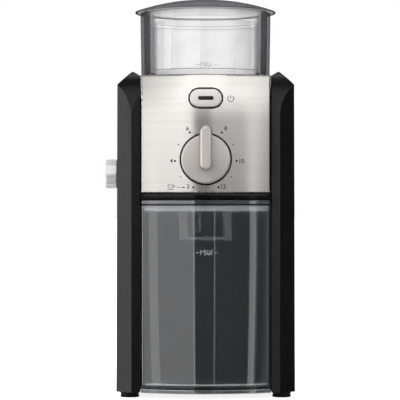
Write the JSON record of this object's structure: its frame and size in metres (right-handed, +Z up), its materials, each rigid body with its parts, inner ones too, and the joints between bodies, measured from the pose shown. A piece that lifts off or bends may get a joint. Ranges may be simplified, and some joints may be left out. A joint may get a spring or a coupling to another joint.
{
  "type": "burr coffee grinder",
  "caption": "Electric burr coffee grinder: clear bean hopper over a black body with a brushed front, power button, cup dial, side fineness knob and pull-out smoke-grey grounds container.",
  "frame": {"origin": "middle of the footprint's bounding box, on the counter", "axes": "+Z up, -Y is the front with the dial and container, +X is the viewer's right seen from the front"},
  "size_m": [0.126, 0.1928, 0.2655],
  "materials": {
    "black_plastic": "fine satin grain",
    "gloss_black": "gloss",
    "steel_panel": "brushed",
    "satin_silver": "satin",
    "clear_plastic": "clear gloss",
    "lid_plastic": "smoke-tinted gloss",
    "smoke_plastic": "dark smoke-tinted gloss",
    "dark_lens": "gloss",
    "rubber": "matt",
    "nylon": "matt, natural",
    "burr_steel": "ground",
    "zinc_steel": "zinc-plated",
    "bronze": "sintered",
    "copper": "enamelled copper",
    "board": "varnished"
  },
  "bodies": {
    "housing": {"side_panel_left": "black_plastic", "side_panel_right": "black_plastic", "top_deck": "black_plastic", "head_floor": "black_plastic", "bay_back_wall": "black_plastic", "base_plate": "black_plastic", "rear_cover": "black_plastic", "grinding_chamber": "black_plastic", "knob_escutcheon": "black_plastic", "power_switch": "black_plastic", "timer_module": "black_plastic", "interlock_switch": "black_plastic", "front_frame": "gloss_black", "button_guide": "gloss_black", "front_panel": "steel_panel", "hopper": "clear_plastic", "hopper_bowl": "clear_plastic", "foot_front_left": "rubber", "foot_front_right": "rubber", "foot_rear_left": "rubber", "foot_rear_right": "rubber", "cord_gland": "rubber", "hopper_gasket": "rubber", "motor_mount": "rubber", "gear_post": "zinc_steel", "stator_core": "zinc_steel", "bottom_bracket": "zinc_steel", "top_bracket": "zinc_steel", "cover_screw_left": "zinc_steel", "cover_screw_right": "zinc_steel", "spindle_bush": "bronze", "brush_holder_left": "bronze", "brush_holder_right": "bronze", "field_coil_front": "copper", "field_coil_rear": "copper", "control_board": "board"},
    "lid": {"hopper_lid": "lid_plastic"},
    "button": {"power_button": "satin_silver", "button_lens": "dark_lens"},
    "dial": {"cup_dial": "satin_silver", "dial_shaft": "nylon"},
    "fineness": {"fineness_knob": "satin_silver", "fineness_shaft": "nylon"},
    "ring": {"adjusting_ring": "nylon"},
    "upper_burr_set": {"upper_burr_carrier": "black_plastic", "upper_burr": "burr_steel"},
    "lower_burr_set": {"burr_spindle": "zinc_steel", "burr_nut": "zinc_steel", "impeller": "nylon", "lower_burr": "burr_steel", "drive_gear": "nylon"},
    "countergear": {"intermediate_gear": "nylon"},
    "motor": {"armature": "zinc_steel", "commutator": "copper", "motor_shaft": "zinc_steel", "motor_pinion": "bronze", "cooling_fan": "black_plastic"},
    "drawer": {"container": "smoke_plastic", "container_lid": "smoke_plastic"},
    "lever": {"interlock_lever": "nylon"}
  },
  "joints": [
    {"name": "lid_lift", "type": "slide", "parent": "housing", "child": "lid", "axis": [0, 0, 1], "range_m": [0, 0.04]},
    {"name": "button_press", "type": "slide", "parent": "housing", "child": "button", "axis": [0, 1, 0], "range_m": [0, 0.003], "stiffness_N_per_m": 400},
    {"name": "dial_turn", "type": "hinge", "parent": "housing", "child": "dial", "pos_m": [0.005, -0.07331, 0.1546], "axis": [0, -1, 0], "range_deg": [-156, 156]},
    {"name": "fineness_turn", "type": "hinge", "parent": "housing", "child": "fineness", "pos_m": [0.005, 0.00169, 0.1462], "axis": [1, 0, 0], "range_deg": [-150, 150]},
    {"name": "ring_turn", "type": "hinge", "parent": "housing", "child": "ring", "pos_m": [0.005, 0.00169, 0.16], "axis": [0, 0, 1], "range_deg": [-25, 25]},
    {"name": "burr_lift", "type": "slide", "parent": "ring", "child": "upper_burr_set", "axis": [0, 0, 1], "range_m": [-0.00035, 0.00035]},
    {"name": "motor_turn", "type": "hinge", "parent": "housing", "child": "motor", "pos_m": [0.005, 0.04469, 0.06], "axis": [0, 0, 1], "continuous": true},
    {"name": "countergear_turn", "type": "hinge", "parent": "housing", "child": "countergear", "pos_m": [0.005, 0.02369, 0.139], "axis": [0, 0, 1], "continuous": true},
    {"name": "burr_turn", "type": "hinge", "parent": "housing", "child": "lower_burr_set", "pos_m": [0.005, 0.00169, 0.15], "axis": [0, 0, 1], "continuous": true},
    {"name": "drawer_pull", "type": "slide", "parent": "housing", "child": "drawer", "axis": [0, -1, 0], "range_m": [0, 0.1]},
    {"name": "lever_press", "type": "slide", "parent": "housing", "child": "lever", "axis": [0, 1, 0], "range_m": [0, 0.0015], "stiffness_N_per_m": 150}
  ],
  "couplings": [
    {"joint": "ring_turn", "follows": "fineness_turn", "ratio": 0.16667},
    {"joint": "burr_lift", "follows": "fineness_turn", "m_per_rad": 0.00013369},
    {"joint": "countergear_turn", "follows": "motor_turn", "ratio": -0.35484},
    {"joint": "burr_turn", "follows": "motor_turn", "ratio": 0.20277}
  ]
}
